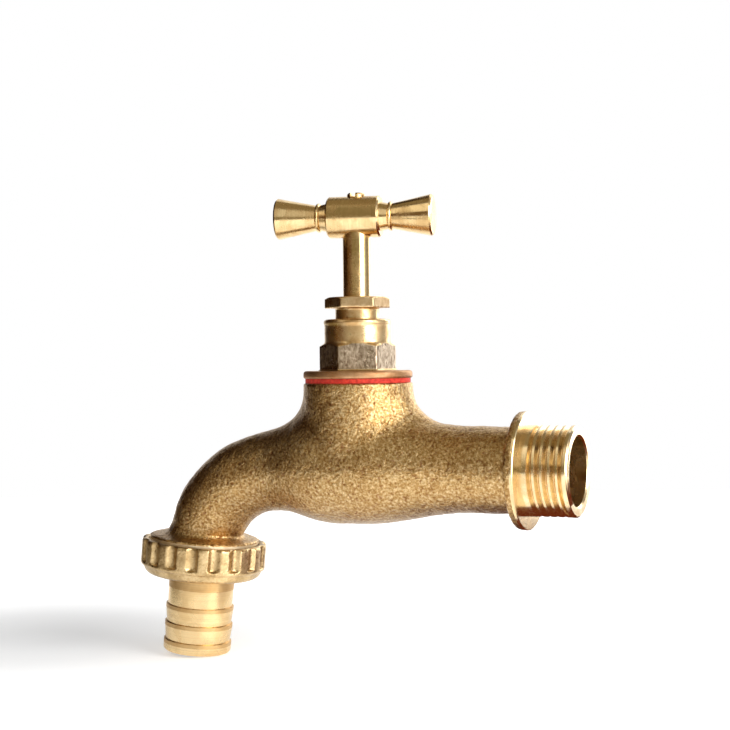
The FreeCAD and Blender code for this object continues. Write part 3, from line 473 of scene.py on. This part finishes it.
# %% Make the fibre, the rubber and the string
def plain_finish(name, low, high, shiny, matt, grain, depth_mm):
    """A non-metal finish: one grain drives its colour, its gloss and its bump."""
    material, tree, shader, place = start_finish(name, metallic=0.0)
    pattern = noise(tree, place, grain, detail=5.0, rough=0.6)
    colour = ramp(tree, pattern, [(0.35, low), (0.65, high)])
    polish = ramp(tree, pattern, [(0.3, matt), (0.7, shiny)])
    surface = bump(tree, pattern, depth_mm)
    connect(tree, shader, Base_Color=colour, Roughness=polish, Normal=surface)
    return material


red_fibre = plain_finish("red_fibre", (0.52, 0.014, 0.004), (0.86, 0.05, 0.018),
                         shiny=0.6, matt=0.8, grain=1400.0, depth_mm=0.04)
black_rubber = plain_finish("black_rubber", (0.012, 0.012, 0.012), (0.03, 0.03, 0.028),
                            shiny=0.5, matt=0.7, grain=1200.0, depth_mm=0.02)
waxed_string = plain_finish("waxed_string", (0.42, 0.38, 0.30), (0.66, 0.62, 0.52),
                            shiny=0.4, matt=0.6, grain=1800.0, depth_mm=0.06)
print("made", red_fibre.name, black_rubber.name, waxed_string.name)

# %% [markdown]
# ## The casting
# The CAD solid has the right form but a perfect skin and knife edges. Its turned ends are cut
# away first, to stay crisp. What is left is rebuilt from small even faces, relaxed, and pushed
# in and out a little by two soft noises, as metal poured in sand comes out.

# %% Give a piece a soft skin and lumps
def apply_all(piece):
    """Apply every modifier of a piece, in order."""
    pick(piece)
    for modifier in list(piece.modifiers):
        bpy.ops.object.modifier_apply(modifier=modifier.name)


def voxel_skin(piece, voxel_mm, passes):
    """Rebuild the surface from small even faces, then relax it: every sharp edge turns soft."""
    remesh = piece.modifiers.new("skin", "REMESH")
    remesh.mode = "VOXEL"
    remesh.voxel_size = voxel_mm * MM
    remesh.use_smooth_shade = True
    relax = piece.modifiers.new("relax", "SMOOTH")
    relax.factor = 0.5
    relax.iterations = passes
    apply_all(piece)


def lumps(piece, name, size_mm, height_mm):
    """Push the surface in and out with a soft noise."""
    texture = bpy.data.textures.new(name, "CLOUDS")
    texture.noise_scale = size_mm * MM
    texture.noise_depth = 2
    push = piece.modifiers.new(name, "DISPLACE")
    push.texture = texture
    push.texture_coords = "LOCAL"
    push.strength = height_mm * MM
    push.mid_level = 0.5


print("skins and lumps can be made")

# %% Make the casting
SHOULDER_SKIN = -0.35 * MM      # the cast skin ends this far short of the shoulder's face
RIM_SKIN = 0.15 * MM            # and this far short of the underside of the outlet's rim

casting = copy_of("body", "casting")
cut_off(casting, (SHOULDER_SKIN, 0, 0), (1, 0, 0))
cut_off(casting, outlet_centre + outlet_up * RIM_SKIN, -outlet_up)
voxel_skin(casting, voxel_mm=0.42, passes=6)
lumps(casting, "broad lumps", size_mm=5.0, height_mm=0.30)
lumps(casting, "small lumps", size_mm=1.3, height_mm=0.16)
apply_all(casting)
print("casting has", faces_of(casting), "faces")

# %% [markdown]
# ## The casting's turned ends
# The thread and the shoulder of the inlet, and the outlet's thread, were cut on a lathe after
# the casting, so they keep the solid's crisp form. A plane cuts each of them from a copy of the
# solid, and takes a little of the cast side with it, so that no gap shows. A cut copy has lost
# the smooth shading of its CAD node, and each face gets it back from the CAD triangle that it
# lies in.

# %% Bring the smooth shading back
SAME_WAY = 0.9                  # a face and the triangle it lies in look at least this alike


def take_normals(piece, node):
    """Give each face of a cut copy the smooth normals of the CAD triangle that it lies in."""
    pick(piece)
    bpy.ops.object.shade_smooth()
    source, mesh = frame["nodes"][node].data, piece.data
    places = [vertex.co / MM for vertex in source.vertices]
    triangles = [tuple(face.vertices) for face in source.polygons]
    tree = BVHTree.FromPolygons(places, triangles)
    normals = [None] * len(mesh.loops)
    for face in mesh.polygons:
        found = tree.find_nearest(face.center / MM)[2]
        fits = source.polygons[found].normal.dot(face.normal) > SAME_WAY
        for loop in face.loop_indices:
            normals[loop] = face.normal.copy()
            if fits:
                point = mesh.vertices[mesh.loops[loop].vertex_index].co / MM
                shares = poly_3d_calc([places[corner] for corner in triangles[found]], point)
                corners = source.polygons[found].loop_indices
                blend = Vector((0, 0, 0))
                for share, corner in zip(shares, corners):
                    blend += source.corner_normals[corner].vector * share
                normals[loop] = blend.normalized()
    mesh.normals_split_custom_set(normals)


print("smooth shading can be brought back")

# %% Cut the two ends out
SHOULDER_FACE = -0.75 * MM      # the inlet's end starts here, and overlaps the cast skin
RIM_FACE = 0.55 * MM            # the outlet's end reaches up to here, and overlaps it too
OUTLET_SIDE = spindle_x - 20 * MM   # all of the outlet lies beyond this, away from the wall

inlet_end = copy_of("body", "inlet_end")
cut_off(inlet_end, (SHOULDER_FACE, 0, 0), (-1, 0, 0))
outlet_end = copy_of("body", "outlet_end")
cut_off(outlet_end, outlet_centre + outlet_up * RIM_FACE, outlet_up)
cut_off(outlet_end, (OUTLET_SIDE, 0, 0), (1, 0, 0))
for turned_end in (inlet_end, outlet_end):
    take_normals(turned_end, "body")
print("inlet end has", faces_of(inlet_end), "faces, outlet end has", faces_of(outlet_end))

# %% [markdown]
# ## The union nut and the two hexagons
# The nut was stamped hot, so its flutes and lands run into one another. A finer skin than the
# casting's keeps the flutes and takes the sharpness off. The hexagons get the same treatment:
# their corners are blunt on the real tap, and a blunt corner is what catches the lamp.

# %% Soften the nut and the hexagons
nut = copy_of("union_nut", "fluted_nut")
voxel_skin(nut, voxel_mm=0.25, passes=5)
headwork_piece = copy_of("bonnet", "headwork")
voxel_skin(headwork_piece, voxel_mm=0.28, passes=7)
gland_piece = copy_of("gland_nut", "gland_hexagon")
voxel_skin(gland_piece, voxel_mm=0.20, passes=6)
for piece in (nut, headwork_piece, gland_piece):
    print(piece.name, "has", faces_of(piece), "faces")

# %% [markdown]
# ## Dress every piece
# A CAD node whose shape is right stays and only gets its finish. The new pieces stand for the
# nodes that they copy, and ride on the same bodies.

# %% Install the new pieces
def dress(piece, material):
    """Give a piece one finish and no other."""
    piece.data.materials.clear()
    piece.data.materials.append(material)


def install(piece, node, body, material):
    """Finish a new piece and let it stand for its CAD node."""
    dress(piece, material)
    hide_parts(node)
    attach(piece, body)
    print(piece.name, "stands for", node)


install(casting, "body", "tap", sand_cast)
install(inlet_end, "body", "tap", inlet_turned)
install(outlet_end, "body", "tap", outlet_turned)
install(nut, "union_nut", "nut", stamped)
install(headwork_piece, "bonnet", "tap", headwork)
install(gland_piece, "gland_nut", "tap", headwork)

# %% Finish the other nodes
NODE_FINISHES = {
    "bonnet_washer": red_fibre, "gland_packing": waxed_string, "gland_ring": headwork,
    "spindle": stem_turned, "handle_bar": bar_turned, "handle_screw": stem_turned,
    "jumper_valve": headwork, "valve_washer": black_rubber, "jumper_nut": headwork,
    "hose_washer": black_rubber, "hose_tail": tail_turned,
}
for node, material in NODE_FINISHES.items():
    dress(frame["nodes"][node], material)
print("dressed", len(NODE_FINISHES), "nodes")

# %% [markdown]
# ## The studio
# The tap stands on a sheet of white paper in a white room. Light Path says how a ray got to a
# place: what the camera sees, or polished metal mirrors, is plain white, and the light that
# falls on the tap is softer than that. The paper glows by itself far from the tap and only
# faintly near its foot, least at a spot left of and behind it, which paints a shadow there on top
# of the lamp's own.

# %% Measure the studio out from the tap
FLOOR_GAP = 0.1 * MM            # the tap stays this far above the paper
FLOOR_Z = cad_low.z - FLOOR_GAP
VIEW_TURN = radians(23.353)     # the camera's side of the tap, round the spindle
TAIL_REACH_MM = 28
tail_foot = outlet_centre - outlet_up * TAIL_REACH_MM * MM


def towards(turn, rise=0.0):
    """The direction that many degrees to the right of the camera, and that many up."""
    side, lift = VIEW_TURN + radians(turn), radians(rise)
    return Vector((sin(side) * cos(lift), -cos(side) * cos(lift), sin(lift)))


print("paper at", round(FLOOR_Z / MM, 2), "mm, tail's foot at",
      [round(v / MM, 1) for v in tail_foot])

# %% Tell seen light from other light
def seen_directly(tree):
    """One for rays from the camera, and for those that polished metal or glass sends on."""
    ray = add_node(tree, "LightPath")
    mirrored = calc(tree, "MAXIMUM", ray.outputs["Is Glossy Ray"],
                    ray.outputs["Is Transmission Ray"])
    return calc(tree, "MAXIMUM", ray.outputs["Is Camera Ray"], mirrored)


def switched(tree, share, unseen, seen):
    """The first shader where the share is nothing, the second where it is one."""
    switch = add_node(tree, "MixShader")
    tree.links.new(share, switch.inputs["Fac"])
    tree.links.new(unseen, switch.inputs[1])
    tree.links.new(seen, switch.inputs[2])
    return switch.outputs["Shader"]


def blank_material(name):
    """A material whose node tree is still empty."""
    material = bpy.data.materials.new(name)
    material.use_nodes = True
    material.node_tree.nodes.clear()
    return material, material.node_tree


print("seen light can be told from other light")

# %% Make the paper's finish
# painted shadow: the paper's glow is least round this place, left of and behind the tail's foot
PAINTED_SHADOW_TURN, PAINTED_SHADOW_SHIFT_MM = -119, 51     # the darkest place, from the tail's foot
GLOW_REACH = 0.25               # metres from there, the unit of the places below
GLOW_WITH_PAINTED_SHADOW = [(0.04, 0.24), (0.14, 0.34), (0.32, 0.75), (0.80, 0.95)]     # place and strength


def paper_finish():
    """Plain matt paper with a glow of its own, for the camera and for reflections only; the glow
    is weakest near the tap, which paints a shadow there.
    """
    material, tree = blank_material("white_paper")
    matt = add_node(tree, "BsdfDiffuse", {"Color": (0.80, 0.80, 0.80, 1)})
    away = add_node(tree, "VectorMath", operation="DISTANCE")
    tree.links.new(add_node(tree, "TexCoord").outputs["Object"], away.inputs[0])
    # painted shadow: the glow ramp is centred here, so the paper is darkest beside the tail's
    # foot
    away.inputs[1].default_value = tail_foot + towards(PAINTED_SHADOW_TURN) * PAINTED_SHADOW_SHIFT_MM * MM
    share = calc(tree, "DIVIDE", away.outputs["Value"], GLOW_REACH)
    glow = add_node(tree, "Emission", {"Strength": 1.0})
    tree.links.new(ramp(tree, share, GLOW_WITH_PAINTED_SHADOW), glow.inputs["Color"])
    none = add_node(tree, "Emission", {"Strength": 0.0})
    seen_glow = switched(tree, seen_directly(tree), none.outputs["Emission"],
                         glow.outputs["Emission"])
    total = add_node(tree, "AddShader")
    tree.links.new(matt.outputs["BSDF"], total.inputs[0])
    tree.links.new(seen_glow, total.inputs[1])
    output = add_node(tree, "OutputMaterial")
    tree.links.new(total.outputs["Shader"], output.inputs["Surface"])
    return material


white_paper = paper_finish()
print("made", white_paper.name)

# %% Lay the paper
PAPER_SIZE = (1.25, 1.10, 1.0)
PAPER_SHIFT = 0.22              # its middle lies this far from the spindle, towards the wall

bpy.ops.object.select_all(action="DESELECT")
bpy.ops.mesh.primitive_plane_add(size=1.0, location=(PAPER_SHIFT + spindle_x, 0, FLOOR_Z))
paper = bpy.context.active_object
paper.name = "paper"
paper.scale = PAPER_SIZE
paper.rotation_euler.z = VIEW_TURN
bpy.ops.object.transform_apply()
paper.data.materials.append(white_paper)
print("laid the", paper.name)

# %% Fill the room with light
ROOM_FILL = 0.50


def make_room():
    """White wherever it is looked at or mirrored, and a softer light on everything else."""
    world = bpy.data.worlds.new("room")
    bpy.context.scene.world = world
    world.use_nodes = True
    tree = world.node_tree
    tree.nodes.clear()
    fill = add_node(tree, "Background", {"Color": (1, 1, 1, 1), "Strength": ROOM_FILL})
    white = add_node(tree, "Background", {"Color": (1, 1, 1, 1), "Strength": 1.0})
    output = add_node(tree, "OutputWorld")
    tree.links.new(switched(tree, seen_directly(tree), fill.outputs["Background"],
                            white.outputs["Background"]), output.inputs["Surface"])


make_room()
print("the room's light falls on the tap at", ROOM_FILL)

# %% [markdown]
# ## Cards, windows and the lamp
# Polished brass shows only what is round it, and in a room that is white all over it would look
# like white paint. Photographers stand cards round such a piece. Here they are parts of a
# sphere that only reflections can see, painted reflections that glow but light nothing: nearly
# black, brown and cream on the left, tan behind the camera, pale and grey on the right, with a
# small window before them and two bright ones behind the tap. Three mats on the floor do the
# same for the faces that look down: a brown and an olive one paint shade on the undersides of
# the inlet's thread and of the casting, and a bright one paints the highlight down the hose
# tail. One tall soft lamp on the right draws the bright line down each other round piece.

# %% Let only reflections see a piece
def only_mirrored(card, colour):
    """Give a card or a mat one plain brightness, and let polished metal alone see it."""
    material, tree = blank_material(card.name)
    shade = add_node(tree, "Emission", {"Color": colour + (1,), "Strength": 1.0})
    output = add_node(tree, "OutputMaterial")
    tree.links.new(shade.outputs["Emission"], output.inputs["Surface"])
    card.data.materials.append(material)
    card.visible_camera = False
    card.visible_diffuse = False
    card.visible_shadow = False
    print(card.name, "has", faces_of(card), "faces")


print("a piece can be hidden from all but reflections")

# %% Cut a card from a sphere
CARD_STEP = 2                   # degrees from one edge of a card's face to the next


def make_card(name, radius, left, right, low, high, colour):
    """A piece of a sphere round the tap, from left to right as seen from the camera."""
    bpy.ops.object.select_all(action="DESELECT")
    bpy.ops.mesh.primitive_uv_sphere_add(segments=360 // CARD_STEP, ring_count=180 // CARD_STEP,
                                         radius=radius, location=SPINDLE_LINE)
    card = bpy.context.active_object
    card.name = name
    bpy.ops.object.transform_apply()
    bpy.ops.object.mode_set(mode="EDIT")
    bpy.ops.mesh.select_mode(type="FACE")
    bpy.ops.mesh.select_all(action="DESELECT")
    bpy.ops.object.mode_set(mode="OBJECT")
    for face in card.data.polygons:
        middle = face.center - Vector(SPINDLE_LINE)
        turn = degrees(atan2(middle.x, -middle.y) - VIEW_TURN)
        turn = (turn + 180) % 360 - 180
        height = degrees(atan2(middle.z, Vector((middle.x, middle.y)).length))
        face.select = not (left < turn < right and low < height < high)
    bpy.ops.object.mode_set(mode="EDIT")
    bpy.ops.mesh.delete(type="FACE")
    bpy.ops.object.mode_set(mode="OBJECT")
    only_mirrored(card, colour)


print("a card is cut in steps of", CARD_STEP, "degrees")

# %% Stand the cards and the windows
CARD_AWAY, WINDOW_AWAY = 1.6, 1.4
NEARLY_BLACK = (0.022, 0.007, 0.002)
# painted reflections: every card and window glows for polished metal only, lights nothing and
# casts no shadow
CARDS = [       # name, distance, then left, right, low and high in degrees, and the colour
    ("black card", CARD_AWAY, -150, -84, -50, 62, NEARLY_BLACK),
    ("brown card", CARD_AWAY, -84, -42, -50, 18, (0.12, 0.055, 0.014)),
    ("cream card", CARD_AWAY, -70, -42, 18, 62, (1.10, 1.02, 0.86)),
    ("upper card", CARD_AWAY, -84, -70, 18, 62, NEARLY_BLACK),
    ("back card", CARD_AWAY, -174, -150, 20, 62, NEARLY_BLACK),
    ("tan card", CARD_AWAY, -42, 26, -50, 62, (0.24, 0.20, 0.11)),
    ("pale card", CARD_AWAY, 26, 84, -50, 62, (0.60, 0.59, 0.57)),
    ("grey card", CARD_AWAY, 84, 120, -50, 62, (0.30, 0.29, 0.28)),
    ("ceiling", CARD_AWAY, -180, 180, 62, 91, (0.26, 0.21, 0.12)),
    ("small window", WINDOW_AWAY, -8, 26, 12, 58, (0.80, 0.78, 0.72)),
    ("back window", WINDOW_AWAY, 124, 150, -6, 46, (3.4, 3.4, 3.3)),
    ("end window", WINDOW_AWAY, 150, 170, -6, 46, (1.45, 1.44, 1.4)),
]
for card in CARDS:
    make_card(*card)

# %% Lay the mats
MAT_ABOVE_MM = 0.05             # how far the mats lie above the paper


def make_mat(name, centre, size, turn, colour):
    """A sheet on the floor, its length pointing turn degrees to the right of the camera."""
    bpy.ops.object.select_all(action="DESELECT")
    place = (centre.x, centre.y, FLOOR_Z + MAT_ABOVE_MM * MM)
    bpy.ops.mesh.primitive_plane_add(size=1.0, location=place)
    mat = bpy.context.active_object
    mat.name = name
    mat.scale = size + (1.0,)
    mat.rotation_euler.z = VIEW_TURN + radians(turn - 90)
    bpy.ops.object.transform_apply()
    only_mirrored(mat, colour)


MATS = [        # name, centre, size in metres, turn in degrees, and the colour
    # painted shade: a dark sheet that darkens the underside of the inlet's thread in reflections
    ("brown painted shade mat", Vector((0.134, 0.16, 0)), (0.332, 0.324), 90 - degrees(VIEW_TURN),
     (0.15, 0.03, 0.01)),
    # painted shade: a dark sheet that darkens the casting's underside in reflections
    ("olive painted shade mat", tail_foot + towards(-88) * 0.33, (0.44, 0.50), -88, (0.22, 0.17, 0.07)),
    # painted highlight: a glowing strip that draws the bright line down the hose tail
    ("painted highlight mat", tail_foot + towards(47) * 0.060, (0.09, 0.024), 47, (1.75, 1.72, 1.65)),
]
for mat in MATS:
    make_mat(*mat)

# %% Set the lamp up
def make_lamp(name, turn, rise, distance, width, height, watts):
    """A soft lamp that stands round the tap, turn degrees right of the camera, and faces it."""
    back = towards(turn, rise)
    data = bpy.data.lights.new(name, "AREA")
    data.shape = "RECTANGLE"
    data.size, data.size_y = width, height
    data.energy = watts
    lamp = bpy.data.objects.new(name, data)
    bpy.context.scene.collection.objects.link(lamp)
    lamp.location = Vector(SPINDLE_LINE) + back * distance
    lamp.rotation_euler = back.to_track_quat("Z", "Y").to_euler()
    print(name, "lamp at", [round(v, 3) for v in lamp.location])


make_lamp("window", turn=47, rise=16, distance=0.9, width=0.56, height=0.75, watts=7.7)

# %% [markdown]
# ## The camera
# The place and the lens were worked out by laying the solids' outline over the photograph's. The
# camera stands a little over a third of a metre away, about 23 degrees round to the inlet's
# side, and very slightly rolled.

# %% Place the camera
RISE = 0.271                    # degrees
ROLL = radians(-0.66)
TARGET = Vector((1.911 * MM + spindle_x, -0.103 * MM, 24.561 * MM))     # the picture's middle
DISTANCE = 369.14 * MM
LENS, SENSOR = 76.03, 36.0      # both in millimetres

back = towards(0, RISE)
level = Vector((cos(VIEW_TURN), sin(VIEW_TURN), 0.0))
above = back.cross(level)
right = level * cos(ROLL) + above * sin(ROLL)
up = above * cos(ROLL) - level * sin(ROLL)
camera = bpy.data.objects.new("camera", bpy.data.cameras.new("camera"))
bpy.context.scene.collection.objects.link(camera)
camera.data.lens = LENS
camera.data.sensor_width = SENSOR
camera.matrix_world = Matrix.Translation(TARGET + back * DISTANCE) @ Matrix(
    (right, up, back)).transposed().to_4x4()
bpy.context.scene.camera = camera
bpy.context.scene.view_settings.view_transform = "Standard"
print("camera at", [round(v, 4) for v in camera.location])
